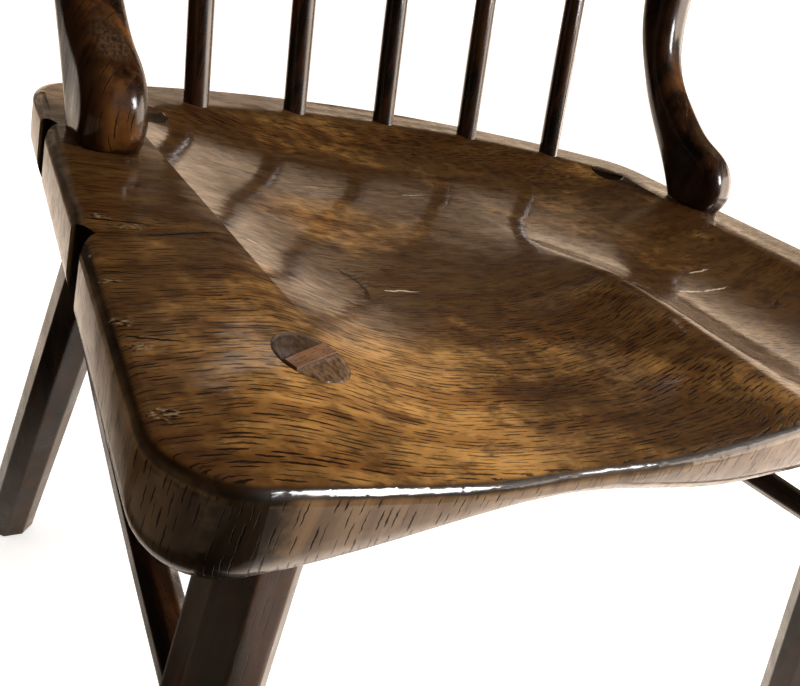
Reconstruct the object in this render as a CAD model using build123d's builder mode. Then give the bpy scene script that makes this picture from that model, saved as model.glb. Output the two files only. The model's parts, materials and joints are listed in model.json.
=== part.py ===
import os
from math import cos, hypot, radians, sin, sqrt, tan

from build123d import *

# All lengths are in millimetres and all angles in degrees.
# x runs to the viewer's right, y to the back, z up; y is measured from the centre spindle.

# Seat plank
seat_height = 440.0
seat_thickness = 43.0
seat_front_half_width = 302.0
seat_back_half_width = 259.0
seat_front = -390.0
seat_front_bow = 8.0
seat_back_corner = -24.0
back_deck_width = 34.0
front_corner_radius = 28.0
back_corner_radius = 40.0
underside_round = 20.0
edge_round = 5.5

# Scallops under the seat's front edge, below the two hollows
scallop_rise = 12.5
scallop_middle = 154.0
scallop_half_width = 116.0
scallop_run = 110.0

# Saddle of the seat
hollow_depth = 19.0
hollow_front_depth = 14.5
hollow_half_width = 222.0
hollow_front_flare = 46.0
flare_start = -280.0
deck_front_margin = 9.0
hollow_back_run = 110.0
hollow_corner_blend = 0.25
ridge_fall_length = 130.0
ridge_fall_spread = 155.0
ridge_front_dip = 14.0
ridge_round = 2.5
shoulder_blend_back = 2.0
shoulder_blend_front = 9.0
shoulder_blend_start = -190.0
carving_step = 9.0

# Notches down both sides of the seat
notch_places = (-237.0, -103.0)
notch_back_length = 15.0
notch_front_length = 12.0
notch_depth = 7.0
notch_nose = 1.6
notch_hollow = 0.8

# Legs
front_leg_x = 228.0
front_leg_y = -327.0
front_leg_splay = 8.2
front_leg_rake = -9.3
rear_leg_x = 204.0
rear_leg_y = -57.0
rear_leg_splay = 2.4
rear_leg_rake = 19.0
leg_top_width = 35.5
leg_foot_width = 37.0
leg_sides = 8
leg_tenon_diameter = 29.0
leg_foot_chamfer = 1.5

# Wedges in the leg and stump tenons
leg_wedge_thickness = 5.6
leg_wedge_tip = 1.6
leg_wedge_length = 27.0
leg_wedge_depth = 30.0
leg_wedge_turn = 31.0
stump_wedge_thickness = 3.6
stump_wedge_tip = 1.2
stump_wedge_length = 19.0
stump_wedge_depth = 20.0
wedge_proud = 0.8

# Stretchers
stretcher_front_height = 277.0
stretcher_rear_height = 272.0
stretcher_front_inset = 2.0
stretcher_rear_inset = 9.0
side_stretcher_middle = 19.5
side_stretcher_end = 16.5
cross_stretcher_middle = 21.0
cross_stretcher_end = 15.5
cross_stretcher_place = 0.5
stretcher_tenon_diameter = 14.0
cross_tenon_diameter = 11.0
leg_tenon_past_middle = 5.0
cross_tenon_past_middle = 3.0

# Arm stumps, with the two edges as distance behind the stump's front and height above the seat
stump_middle_x = 244.0
stump_width = 32.0
stump_front = -142.0
stump_front_edge = ((0, 0), (-4, 17), (11, 40), (36, 51), (60, 66), (89, 92), (109, 140), (116, 212))
stump_back_edge = ((42, 0), (73, 35), (95, 58), (113, 80), (137, 118), (151, 160), (155, 212))
stump_edge_round = 12.0
stump_tenon_diameter = 22.0

# Arms, with the two edges as distance from the middle plane and behind the centre spindle
arm_thickness = 24.0
arm_inner_edge = ((0, 36), (110, 25), (196, -22), (224, -92))
arm_hand_tip = (262, -128)
arm_outer_edge = ((294, -92), (288, -36), (252, 26), (150, 73), (0, 86))
arm_edge_round = 6.0

# Cap over the joint of the arms
cap_thickness = 26.0
cap_half_length = 188.0
cap_half_width = 20.5
cap_end_round = 12.0
cap_edge_round = 7.0
cap_peg_places = (-122.0, -41.0, 41.0, 122.0)
cap_peg_diameter = 8.0
cap_peg_depth = 14.0

# Back spindles
spindle_names = ("spindle_far_left", "spindle_left", "spindle_centre", "spindle_right", "spindle_far_right")
spindle_spacing = 80.0
spindle_diameter = 16.2
spindle_top_diameter = 12.0
spindle_rake = 15.3
spindle_fan = 0.0001
spindle_row_radius = 550.0
spindle_seat_depth = 24.0
spindle_comb_depth = 34.0
spindle_straight_above_cap = 12.0

# Comb rail
comb_along_spindle = 545.0
comb_height = 64.0
comb_half_length = 226.0
comb_thickness = 21.0
comb_crown = 16.0
comb_end_round = 14.0
comb_edge_round = 4.0
comb_peg_diameter = 5.0
comb_peg_height = 17.0

# Fit between pieces
joint_clearance = 0.15

# Sizes that follow from the ones above
seat_underside = seat_height - seat_thickness
stump_foot = seat_height + 2 * joint_clearance
arm_underside = stump_foot + stump_front_edge[-1][1]
arm_top = arm_underside + arm_thickness
cap_top = arm_top + cap_thickness
cap_middle = (arm_top + cap_top) / 2 - seat_height
stump_foot_y = stump_front + (stump_front_edge[0][0] + stump_back_edge[0][0]) / 2
stump_top_y = stump_front + (stump_front_edge[-1][0] + stump_back_edge[-1][0]) / 2
rake_slope = tan(radians(spindle_rake))
octagon_turn = 180.0 / leg_sides
carving_margin = 2 * carving_step


def row_y(x, height):
    """Place of the curved spindle row at a distance x from the middle and a height over the seat."""
    return sqrt(spindle_row_radius**2 - x**2) - spindle_row_radius + rake_slope * height


def ramp(value, start, end):
    """Runs from 0 at the start to 1 at the end and stays there."""
    return min(max((value - start) / (end - start), 0.0), 1.0)


def lower_of(first, second, blend):
    """The lower of two heights, with the corner between them rounded."""
    overlap = max(blend - abs(first - second), 0.0) / blend
    return min(first, second) - overlap**2 * blend / 4


def carved_height(x, y):
    """Height of the carved top against the flat sides: two hollows, a ridge between, a flat rim."""
    across = sqrt(x**2 + ridge_round**2) - ridge_round
    flare = ramp(y, flare_start, seat_front)
    fall = ramp(y, flare_start, flare_start + ridge_fall_length)
    outer = hollow_half_width + hollow_front_flare * flare**2
    inner = -ridge_fall_spread * fall**2 - ridge_front_dip * flare**2
    middle = (outer + inner) / 2
    reach = (outer - inner) / 2
    sideways = ((across - middle) / reach) ** 2 - 1
    rim_radius = spindle_row_radius - deck_front_margin
    inside = rim_radius - hypot(x, y + spindle_row_radius)
    backward = (1 - min(inside / hollow_back_run, 1.0)) ** 2 - 1
    steepest = (sideways + backward + hypot(sideways - backward, hollow_corner_blend)) / 2
    depth = hollow_depth + (hollow_front_depth - hollow_depth) * flare**2
    softness = ramp(y, shoulder_blend_start, seat_front)
    blend = shoulder_blend_back + (shoulder_blend_front - shoulder_blend_back) * softness
    return lower_of(0.0, depth * steepest, blend)


def eased(share):
    """Runs from 0 to 1 with a level start and end."""
    return share**2 * (3 - 2 * share)


def scalloped_height(x, y):
    """Height of the underside over its flat part: a scallop below each hollow that fades backwards."""
    sideways = ramp(abs(abs(x) - scallop_middle), scallop_half_width, 0)
    forward = ramp(y, seat_front + scallop_run, seat_front)
    return scallop_rise * eased(sideways) * eased(forward)


def steps(start, end, step):
    """Evenly spaced values from start to end, about a step apart."""
    count = round((end - start) / step)
    return [start + (end - start) * index / count for index in range(count + 1)]


# Waste above the carved seat top, taken off the plank and the tenons
left_end = -seat_front_half_width - carving_margin
front_end = seat_front - seat_front_bow - carving_margin
back_end = back_deck_width + carving_margin
carving_x = steps(left_end, -left_end, carving_step)
carving_y = steps(front_end, back_end, carving_step)
carved_points = [[(x, y, seat_height + carved_height(x, y)) for y in carving_y] for x in carving_x]
with BuildPart() as carving:
    extrude(
        Face.make_surface_from_array_of_points(carved_points),
        amount=seat_thickness + hollow_depth,
        dir=(0, 0, 1),
    )

# Waste below the scalloped underside, and the room above it that the leg shoulders leave to the plank
scallop_points = [[(x, y, seat_underside + scalloped_height(x, y)) for y in carving_y] for x in carving_x]
underside_face = Face.make_surface_from_array_of_points(scallop_points)
with BuildPart() as scallops:
    extrude(underside_face, amount=2 * scallop_rise, dir=(0, 0, -1))
with BuildPart() as plank_room:
    extrude(underside_face, amount=2 * seat_thickness, dir=(0, 0, 1))


def leg_line(side, x, y, splay, rake):
    """Point of a leg's middle line on the seat height and its direction downwards."""
    top = Vector(side * x, y, seat_height)
    direction = Vector(side * tan(radians(splay)), tan(radians(rake)), -1)
    return top, direction


def at_height(line, height):
    """Point of a leg's middle line at a height above the floor."""
    top, direction = line
    return top + direction * (top.Z - height)


def across_plane(origin, direction):
    """Plane square to a direction, with its own x along the chair's x."""
    return Plane(origin=origin, x_dir=(1, 0, 0), z_dir=direction)


def along_plane(origin, direction):
    """Plane square to a stretcher, with its own x upright."""
    return Plane(origin=origin, x_dir=(0, 0, 1), z_dir=direction)


def wedge_plane(top, upward, turn):
    """Plane across a wedge: its own y runs up the tenon and its normal along the wedge."""
    heading = Vector(cos(radians(turn)), sin(radians(turn)), 0)
    rise = upward.normalized()
    length_way = (heading - rise * heading.dot(rise)).normalized()
    return Plane(origin=top, x_dir=rise.cross(length_way), z_dir=length_way)


def wedge_corners(thickness, tip, depth, over):
    """Corners of a wedge's tapered section, thick end up."""
    head = thickness + (thickness - tip) / depth * over
    return [(-tip / 2, -depth), (tip / 2, -depth), (head / 2, over), (-head / 2, over)]


# Lines of the four legs and of the side stretchers
legs = {}
for side, hand in ((-1, "left"), (1, "right")):
    legs["front_leg_" + hand] = leg_line(side, front_leg_x, front_leg_y, front_leg_splay, front_leg_rake)
    legs["rear_leg_" + hand] = leg_line(side, rear_leg_x, rear_leg_y, rear_leg_splay, rear_leg_rake)
stretcher_ends = {}
for side, hand in ((-1, "left"), (1, "right")):
    front_joint = at_height(legs["front_leg_" + hand], stretcher_front_height)
    front_joint -= Vector(side * stretcher_front_inset, 0, 0)
    rear_joint = at_height(legs["rear_leg_" + hand], stretcher_rear_height)
    rear_joint -= Vector(side * stretcher_rear_inset, 0, 0)
    stretcher_ends[hand] = (front_joint, rear_joint)
spindle_count = len(spindle_names)
spindle_places = [spindle_spacing * (number - (spindle_count - 1) / 2) for number in range(spindle_count)]


def spindle_line(x):
    """Foot of a spindle on the seat and its direction upwards."""
    return Vector(x, row_y(x, 0), seat_height), Vector(spindle_fan * x, rake_slope, 1).normalized()


def along(height):
    """Length of a raked spindle up to a height above the seat."""
    return height / cos(radians(spindle_rake))


def drill_spindles(diameter, start, end):
    """Takes the spindle holes out of the piece in hand, between two distances along the spindles."""
    for place in spindle_places:
        foot, direction = spindle_line(place)
        with BuildSketch(across_plane(foot + direction * start, direction)) as hole:
            Circle(diameter / 2 + joint_clearance)
        extrude(hole.sketch, amount=end - start, mode=Mode.SUBTRACT)


def bore(joint, toward, diameter, past):
    """Takes a blind hole out of the piece in hand for a tenon that ends just past the joint."""
    way = (toward - joint).normalized()
    with BuildSketch(along_plane(joint - way * past, way)) as hole:
        Circle(diameter / 2 + joint_clearance)
    extrude(hole.sketch, amount=past + leg_top_width, mode=Mode.SUBTRACT)


def side_x(y):
    """Half width of the seat at a place along its straight sides."""
    share = (y - seat_front) / (seat_back_corner - seat_front)
    return seat_front_half_width + (seat_back_half_width - seat_front_half_width) * share


def notch_line(side, place):
    """Outline of one notch: a hollow flank behind and a short, rounded one in front."""
    behind = place + notch_back_length
    ahead = place - notch_front_length
    halfway = side_x(place) - notch_depth / 2
    deepest = (side * (side_x(place) - notch_depth), place)
    behind_end = (side * side_x(behind), behind)
    ahead_end = (side * side_x(ahead), ahead)
    outside = side * (seat_front_half_width + notch_depth)
    ThreePointArc(behind_end, (side * (halfway - notch_hollow), place + notch_back_length / 2), deepest)
    ThreePointArc(deepest, (side * (halfway + notch_nose), place - notch_front_length / 2), ahead_end)
    Polyline(ahead_end, (outside, ahead), (outside, behind), behind_end)


pieces = {}

# Seat
with BuildPart() as seat:
    with BuildSketch(Plane.XY.offset(seat_underside - scallop_rise)):
        with BuildLine():
            back_x = seat_back_half_width
            front_x = seat_front_half_width
            front_middle = (0, seat_front - seat_front_bow)
            back_middle = (0, back_deck_width)
            back = ThreePointArc((-back_x, seat_back_corner), back_middle, (back_x, seat_back_corner))
            front = ThreePointArc((-front_x, seat_front), front_middle, (front_x, seat_front))
            Line(back @ 0, front @ 0)
            Line(back @ 1, front @ 1)
        make_face()
    extrude(amount=seat_thickness + scallop_rise + edge_round)
    fillet(seat.edges().filter_by(Axis.Z).sort_by(Axis.Y)[:2], front_corner_radius)
    fillet(seat.edges().filter_by(Axis.Z).sort_by(Axis.Y)[-2:], back_corner_radius)
    add(scallops.part, mode=Mode.SUBTRACT)
    fillet(seat.faces().sort_by(Axis.Z)[0].edges(), underside_round)
    add(carving.part, mode=Mode.SUBTRACT)
    fillet(seat.faces().sort_by(Axis.Z)[-1].edges(), edge_round)
    for side in (-1, 1):
        for place in notch_places:
            with BuildSketch(Plane.XY.offset(seat_underside)):
                with BuildLine():
                    notch_line(side, place)
                make_face()
            extrude(amount=seat_thickness, mode=Mode.SUBTRACT)
        with BuildSketch(Plane.XY.offset(seat_underside)):
            with Locations((side * stump_middle_x, stump_foot_y)):
                Circle(stump_tenon_diameter / 2 + joint_clearance)
        extrude(amount=2 * seat_thickness, mode=Mode.SUBTRACT)
    for top, direction in legs.values():
        with BuildSketch(across_plane(top, direction)):
            Circle(leg_tenon_diameter / 2 + joint_clearance)
        extrude(amount=2 * seat_thickness, both=True, mode=Mode.SUBTRACT)
    drill_spindles(spindle_diameter, -spindle_seat_depth, spindle_diameter)
pieces["seat"] = seat.part


def make_leg(line, turn):
    """An eight-sided leg, cut level at the floor and to the seat, its round tenon slotted for a wedge."""
    top, direction = line
    with BuildPart() as leg:
        for height, width in ((-leg_foot_width, leg_foot_width), (seat_height, leg_top_width)):
            with BuildSketch(across_plane(at_height(line, height), direction)):
                RegularPolygon(width / 2, leg_sides, major_radius=False, rotation=octagon_turn)
        loft()
        split(bisect_by=Plane.XY, keep=Keep.TOP)
        add(plank_room.part, mode=Mode.SUBTRACT)
        chamfer(leg.faces().sort_by(Axis.Z)[0].edges(), leg_foot_chamfer)
        with BuildSketch(across_plane(at_height(line, seat_underside - leg_top_width), direction)):
            Circle(leg_tenon_diameter / 2)
        extrude(amount=-2 * (seat_thickness + leg_top_width) + leg_top_width)
        add(carving.part, mode=Mode.SUBTRACT)
        with BuildSketch(wedge_plane(top, -direction, turn)):
            slot = leg_wedge_thickness + 2 * joint_clearance
            Polygon(*wedge_corners(slot, leg_wedge_tip, leg_wedge_depth, leg_wedge_depth))
        extrude(amount=leg_tenon_diameter, both=True, mode=Mode.SUBTRACT)
    return leg.part


def make_leg_wedge(line, turn):
    """The wedge of one leg, dressed off a little above the carved seat."""
    top, direction = line
    with BuildPart() as wedge:
        with BuildSketch(wedge_plane(top, -direction, turn)):
            Polygon(*wedge_corners(leg_wedge_thickness, leg_wedge_tip, leg_wedge_depth, leg_wedge_depth))
        extrude(amount=leg_wedge_length / 2, both=True)
        add(carving.part.moved(Location((0, 0, wedge_proud))), mode=Mode.SUBTRACT)
    return wedge.part


def make_stretcher(ends, middle_width, end_width, tenon_diameter, past, hosts):
    """An eight-sided bar, fullest in the middle, scribed to its two hosts, with a round tenon each end."""
    start, end = ends
    run = end - start
    with BuildPart() as stretcher:
        for share, width in ((0, end_width), (1 / 2, middle_width), (1, end_width)):
            with BuildSketch(along_plane(start + run * share, run)):
                RegularPolygon(width / 2, leg_sides, major_radius=False, rotation=octagon_turn)
        loft()
        for host in hosts:
            add(host, mode=Mode.SUBTRACT)
        with BuildSketch(along_plane(start - run.normalized() * past, run)):
            Circle(tenon_diameter / 2)
        extrude(amount=run.length + 2 * past)
    return stretcher.part


# Legs and wedges, before the legs are bored for the stretchers
leg_blanks = {}
for name, line in legs.items():
    turn = leg_wedge_turn if name.endswith("left") else -leg_wedge_turn
    leg_blanks[name] = make_leg(line, turn)
    pieces[name.replace("leg", "leg_wedge")] = make_leg_wedge(line, turn)

# Side stretchers, before they are bored for the cross stretcher
side_blanks = {}
for hand, ends in stretcher_ends.items():
    hosts = (leg_blanks["front_leg_" + hand], leg_blanks["rear_leg_" + hand])
    side_blanks[hand] = make_stretcher(
        ends,
        side_stretcher_middle,
        side_stretcher_end,
        stretcher_tenon_diameter,
        leg_tenon_past_middle,
        hosts,
    )

# Cross stretcher
cross_ends = []
for hand in ("left", "right"):
    front_joint, rear_joint = stretcher_ends[hand]
    cross_ends.append(front_joint + (rear_joint - front_joint) * cross_stretcher_place)
pieces["cross_stretcher"] = make_stretcher(
    cross_ends,
    cross_stretcher_middle,
    cross_stretcher_end,
    cross_tenon_diameter,
    cross_tenon_past_middle,
    side_blanks.values(),
)

# Holes for the stretchers
for name, blank in leg_blanks.items():
    front_joint, rear_joint = stretcher_ends["left" if name.endswith("left") else "right"]
    joints = (front_joint, rear_joint) if name.startswith("front") else (rear_joint, front_joint)
    with BuildPart() as leg:
        add(blank)
        bore(*joints, stretcher_tenon_diameter, leg_tenon_past_middle)
    pieces[name] = leg.part
for hand, joints in (("left", cross_ends), ("right", cross_ends[::-1])):
    with BuildPart() as side_stretcher:
        add(side_blanks[hand])
        bore(*joints, cross_tenon_diameter, cross_tenon_past_middle)
    pieces["side_stretcher_" + hand] = side_stretcher.part

# Arm stumps and their wedges
for side, hand in ((-1, "left"), (1, "right")):
    with BuildPart() as stump:
        with BuildSketch(Plane.YZ.offset(side * stump_middle_x)):
            with BuildLine():
                front = Spline(*[(stump_front + back, stump_foot + up) for back, up in stump_front_edge])
                back = Spline(*[(stump_front + back, stump_foot + up) for back, up in stump_back_edge])
                Line(front @ 0, back @ 0)
                Line(front @ 1, back @ 1)
            make_face()
        extrude(amount=stump_width / 2, both=True)
        fillet(stump.edges().filter_by(GeomType.BSPLINE), stump_edge_round)
        with BuildSketch(Plane.XY.offset(stump_foot)):
            with Locations((side * stump_middle_x, stump_foot_y)):
                Circle(stump_tenon_diameter / 2)
        extrude(amount=-seat_thickness)
        with BuildSketch(Plane.XY.offset(arm_underside)):
            with Locations((side * stump_middle_x, stump_top_y)):
                Circle(stump_tenon_diameter / 2)
        extrude(amount=arm_thickness)
        tenon_top = Vector(side * stump_middle_x, stump_top_y, arm_top)
        with BuildSketch(wedge_plane(tenon_top, Vector(0, 0, 1), 0)):
            slot = stump_wedge_thickness + 2 * joint_clearance
            Polygon(*wedge_corners(slot, stump_wedge_tip, stump_wedge_depth, arm_thickness))
        extrude(amount=stump_tenon_diameter, both=True, mode=Mode.SUBTRACT)
    pieces["arm_stump_" + hand] = stump.part
    with BuildPart() as stump_wedge:
        with BuildSketch(wedge_plane(tenon_top, Vector(0, 0, 1), 0)):
            Polygon(*wedge_corners(stump_wedge_thickness, stump_wedge_tip, stump_wedge_depth, wedge_proud))
        extrude(amount=stump_wedge_length / 2, both=True)
    pieces["arm_stump_wedge_" + hand] = stump_wedge.part

# Arms
peg_places = [(x, row_y(x, cap_middle)) for x in cap_peg_places]
for side, hand in ((-1, "left"), (1, "right")):
    with BuildPart() as arm:
        with BuildSketch(Plane.XY.offset(arm_underside)):
            with BuildLine():
                inner = Spline(*[(side * x, y) for x, y in arm_inner_edge], tangents=((side, 0), (0, -1)))
                outer = Spline(*[(side * x, y) for x, y in arm_outer_edge], tangents=((0, 1), (-side, 0)))
                ThreePointArc(inner @ 1, (side * arm_hand_tip[0], arm_hand_tip[1]), outer @ 0)
                Line(outer @ 1, inner @ 0)
            make_face()
        extrude(amount=arm_thickness)
        curved_edges = arm.edges().filter_by(GeomType.BSPLINE) + arm.edges().filter_by(GeomType.CIRCLE)
        fillet(curved_edges, arm_edge_round)
        with BuildSketch(Plane.XY.offset(arm_underside)):
            with Locations((side * stump_middle_x, stump_top_y)):
                Circle(stump_tenon_diameter / 2 + joint_clearance)
        extrude(amount=arm_thickness, mode=Mode.SUBTRACT)
        with BuildSketch(Plane.XY.offset(arm_top - cap_peg_depth)):
            with Locations(*peg_places):
                Circle(cap_peg_diameter / 2 + joint_clearance)
        extrude(amount=arm_thickness, mode=Mode.SUBTRACT)
        drill_spindles(spindle_diameter, arm_underside - seat_height, along(cap_top - seat_height))
    pieces["arm_" + hand] = arm.part

# Cap over the arm joint and its pegs
with BuildPart() as cap:
    with BuildSketch(Plane.XY.offset(arm_top)):
        with BuildLine():
            ends_y = row_y(cap_half_length, cap_middle)
            middle_y = row_y(0, cap_middle)
            inner = ThreePointArc(
                (-cap_half_length, ends_y - cap_half_width),
                (0, middle_y - cap_half_width),
                (cap_half_length, ends_y - cap_half_width),
            )
            outer = ThreePointArc(
                (-cap_half_length, ends_y + cap_half_width),
                (0, middle_y + cap_half_width),
                (cap_half_length, ends_y + cap_half_width),
            )
            Line(inner @ 0, outer @ 0)
            Line(inner @ 1, outer @ 1)
        make_face()
    extrude(amount=cap_thickness)
    fillet(cap.edges().filter_by(Axis.Z), cap_end_round)
    fillet(cap.faces().sort_by(Axis.Z)[-1].edges(), cap_edge_round)
    with BuildSketch(Plane.XY.offset(arm_top)):
        with Locations(*peg_places):
            Circle(cap_peg_diameter / 2 + joint_clearance)
    extrude(amount=cap_thickness, mode=Mode.SUBTRACT)
    past_cap = along(cap_top - seat_height) + spindle_diameter
    drill_spindles(spindle_diameter, arm_underside - seat_height, past_cap)
pieces["arm_cap"] = cap.part
with BuildPart() as cap_pegs:
    with BuildSketch(Plane.XY.offset(arm_top - cap_peg_depth)):
        with Locations(*peg_places):
            Circle(cap_peg_diameter / 2)
    extrude(amount=cap_thickness + cap_peg_depth)
pieces["arm_cap_pegs"] = cap_pegs.part

# Comb rail, first upright and without its holes
with BuildPart() as comb_blank:
    with BuildSketch(Plane.XY):
        with BuildLine():
            ends_y = row_y(comb_half_length, 0) * cos(radians(spindle_rake))
            half = comb_thickness / 2
            end_x = comb_half_length
            inner = ThreePointArc((-end_x, ends_y - half), (0, -half), (end_x, ends_y - half))
            outer = ThreePointArc((-end_x, ends_y + half), (0, half), (end_x, ends_y + half))
            Line(inner @ 0, outer @ 0)
            Line(inner @ 1, outer @ 1)
        make_face()
    extrude(amount=comb_height)
    with BuildSketch(Plane.XZ):
        with BuildLine():
            shoulder = comb_height - comb_crown
            crown = ThreePointArc((-end_x, shoulder), (0, comb_height), (end_x, shoulder))
            Polyline(crown @ 1, (end_x, 0), (-end_x, 0), crown @ 0)
        face = make_face()
        fillet(face.vertices(), comb_end_round)
    extrude(amount=comb_half_length, both=True, mode=Mode.INTERSECT)
    fillet(comb_blank.faces().sort_by(SortBy.AREA)[-2:].edges(), comb_edge_round)
centre_foot, centre_way = spindle_line(0)
comb_plane = across_plane(centre_foot + centre_way * comb_along_spindle, centre_way)
raked_comb = comb_blank.part.moved(comb_plane.location)

# Back spindles and the pegs through the outermost two
outermost = (spindle_places[0], spindle_places[-1])
peg_bores = []
for place in outermost:
    foot, direction = spindle_line(place)
    peg_middle = foot + direction * (comb_along_spindle + comb_peg_height)
    peg_bores.append(Plane(origin=peg_middle, x_dir=(1, 0, 0), z_dir=comb_plane.y_dir))
for name, place in zip(spindle_names, spindle_places):
    foot, direction = spindle_line(place)
    radial = Vector(1, 0, 0) - direction * direction.X
    straight_end = along(cap_top - seat_height) + spindle_straight_above_cap
    with BuildPart() as spindle:
        with BuildSketch(Plane(origin=foot, x_dir=radial, z_dir=radial.cross(direction))):
            with BuildLine():
                Polyline(
                    (0, -spindle_seat_depth),
                    (spindle_diameter / 2, -spindle_seat_depth),
                    (spindle_diameter / 2, straight_end),
                    (spindle_top_diameter / 2, comb_along_spindle),
                    (spindle_top_diameter / 2, comb_along_spindle + spindle_comb_depth),
                    (0, comb_along_spindle + spindle_comb_depth),
                    close=True,
                )
            make_face()
        revolve(axis=Axis(foot, direction))
        for peg_bore in peg_bores:
            with BuildSketch(peg_bore):
                Circle(comb_peg_diameter / 2 + joint_clearance)
            extrude(amount=spindle_spacing / 2, both=True, mode=Mode.SUBTRACT)
    pieces[name] = spindle.part
with BuildPart() as comb:
    add(raked_comb)
    drill_spindles(spindle_top_diameter, 0, comb_along_spindle + spindle_comb_depth)
    for peg_bore in peg_bores:
        with BuildSketch(peg_bore):
            Circle(comb_peg_diameter / 2 + joint_clearance)
        extrude(amount=spindle_spacing / 2, both=True, mode=Mode.SUBTRACT)
pieces["comb_rail"] = comb.part
with BuildPart() as comb_pegs:
    for peg_bore in peg_bores:
        with BuildSketch(peg_bore):
            Circle(comb_peg_diameter / 2)
        extrude(amount=spindle_spacing / 2, both=True)
    add(raked_comb, mode=Mode.INTERSECT)
pieces["comb_pegs"] = comb_pegs.part

# Files, with the chair standing on the middle of its own outline
outline = Compound(children=[piece.moved(Location()) for piece in pieces.values()]).bounding_box()
to_middle = Location((-outline.center().X, -outline.center().Y, -outline.min.Z))
os.makedirs("parts", exist_ok=True)
for name, piece in pieces.items():
    placed = piece.moved(to_middle)
    placed.label = name
    export_step(placed, "parts/" + name + ".step")
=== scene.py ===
import json
import math

import bpy
from mathutils import Matrix, Vector

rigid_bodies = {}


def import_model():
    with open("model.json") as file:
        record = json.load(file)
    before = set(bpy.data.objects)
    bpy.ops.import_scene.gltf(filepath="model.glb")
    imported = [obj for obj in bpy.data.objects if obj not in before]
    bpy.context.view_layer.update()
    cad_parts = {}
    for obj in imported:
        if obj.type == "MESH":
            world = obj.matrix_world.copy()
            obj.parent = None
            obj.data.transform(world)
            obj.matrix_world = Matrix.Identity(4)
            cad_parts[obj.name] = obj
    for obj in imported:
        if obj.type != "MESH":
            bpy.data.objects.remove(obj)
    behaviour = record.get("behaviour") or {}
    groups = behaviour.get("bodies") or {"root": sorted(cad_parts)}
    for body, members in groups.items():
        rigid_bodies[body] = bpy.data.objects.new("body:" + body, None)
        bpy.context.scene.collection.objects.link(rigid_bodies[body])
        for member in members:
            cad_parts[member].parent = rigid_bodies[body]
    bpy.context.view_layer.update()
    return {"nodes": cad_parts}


for leftover in list(bpy.data.objects):  # the start-up cube, lamp and camera
    bpy.data.objects.remove(leftover)

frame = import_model()
nodes = frame["nodes"]
print("frame loaded:", len(nodes), "pieces")


# small helpers for wiring nodes

def link(tree, source, target):
    if isinstance(source, bpy.types.NodeSocket):
        tree.links.new(source, target)
    else:
        target.default_value = source


def addNode(tree, kind, **settings):
    node = tree.nodes.new(kind)
    for name, value in settings.items():
        setattr(node, name, value)
    return node


def feed(tree, node, values):
    for name, value in values.items():
        link(tree, value, node.inputs[name])
    return node.outputs


def calc(tree, operation, first, second=0.0, third=0.0, clamp=False):
    node = addNode(tree, "ShaderNodeMath", operation=operation, use_clamp=clamp)
    for source, target in zip((first, second, third), node.inputs):
        link(tree, source, target)
    return node.outputs[0]


def plus(tree, first, second):
    return calc(tree, "ADD", first, second)


def minus(tree, first, second, clamp=False):
    return calc(tree, "SUBTRACT", first, second, clamp=clamp)


def times(tree, first, second):
    return calc(tree, "MULTIPLY", first, second)


def over(tree, first, second):
    return calc(tree, "DIVIDE", first, second)


def timesPlus(tree, first, second, third):
    return calc(tree, "MULTIPLY_ADD", first, second, third)


def apart(tree, first, second):
    return calc(tree, "ABSOLUTE", minus(tree, first, second))


def length(tree, x, y):
    return calc(tree, "SQRT", plus(tree, times(tree, x, x), times(tree, y, y)))


def strongest(tree, masks):
    result = masks[0]
    for mask in masks[1:]:
        result = calc(tree, "MAXIMUM", result, mask)
    return result


def dot(tree, first, second):
    node = addNode(tree, "ShaderNodeVectorMath", operation="DOT_PRODUCT")
    link(tree, first, node.inputs[0])
    link(tree, second, node.inputs[1])
    return node.outputs["Value"]


def split(tree, vector):
    node = addNode(tree, "ShaderNodeSeparateXYZ")
    link(tree, vector, node.inputs[0])
    return node.outputs


def combine(tree, x, y, z):
    node = addNode(tree, "ShaderNodeCombineXYZ")
    for source, target in zip((x, y, z), node.inputs):
        link(tree, source, target)
    return node.outputs[0]


def step(tree, value, low, high, toLow=0.0, toHigh=1.0):
    # a soft step from toLow at low to toHigh at high
    node = addNode(tree, "ShaderNodeMapRange", interpolation_type="SMOOTHSTEP")
    values = {"Value": value, "From Min": low, "From Max": high, "To Min": toLow, "To Max": toHigh}
    return feed(tree, node, values)[0]


def noise(tree, vector, scale, detail=2.0, roughness=0.5, distortion=0.0):
    node = addNode(tree, "ShaderNodeTexNoise")
    values = {"Vector": vector, "Scale": scale, "Detail": detail,
              "Roughness": roughness, "Distortion": distortion}
    return feed(tree, node, values)["Fac"]


def wobble(tree, vector, scale, detail):
    # noise on either side of nought
    return minus(tree, noise(tree, vector, scale, detail), 0.5)


def mapped(tree, vector, location=(0, 0, 0), rotation=(0, 0, 0), scale=(1, 1, 1)):
    node = addNode(tree, "ShaderNodeMapping")
    values = {"Vector": vector, "Location": location, "Rotation": rotation, "Scale": scale}
    return feed(tree, node, values)[0]


def stretchedNoise(tree, vector, stretch, kind):
    return noise(tree, mapped(tree, vector, scale=stretch), *kind)


def mix(tree, amount, first, second):
    node = addNode(tree, "ShaderNodeMix", data_type="RGBA")
    link(tree, amount, node.inputs["Factor"])
    link(tree, first, node.inputs[6])
    link(tree, second, node.inputs[7])
    return node.outputs[2]


def between(tree, amount, first, second):
    node = addNode(tree, "ShaderNodeMix", data_type="FLOAT")
    link(tree, amount, node.inputs[0])
    link(tree, first, node.inputs[2])
    link(tree, second, node.inputs[3])
    return node.outputs[0]


def bump(tree, height, distance, strength, normal=None):
    node = addNode(tree, "ShaderNodeBump")
    node.inputs["Strength"].default_value = strength
    node.inputs["Distance"].default_value = distance
    link(tree, height, node.inputs["Height"])
    if normal is not None:
        link(tree, normal, node.inputs["Normal"])
    return node.outputs[0]


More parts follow.
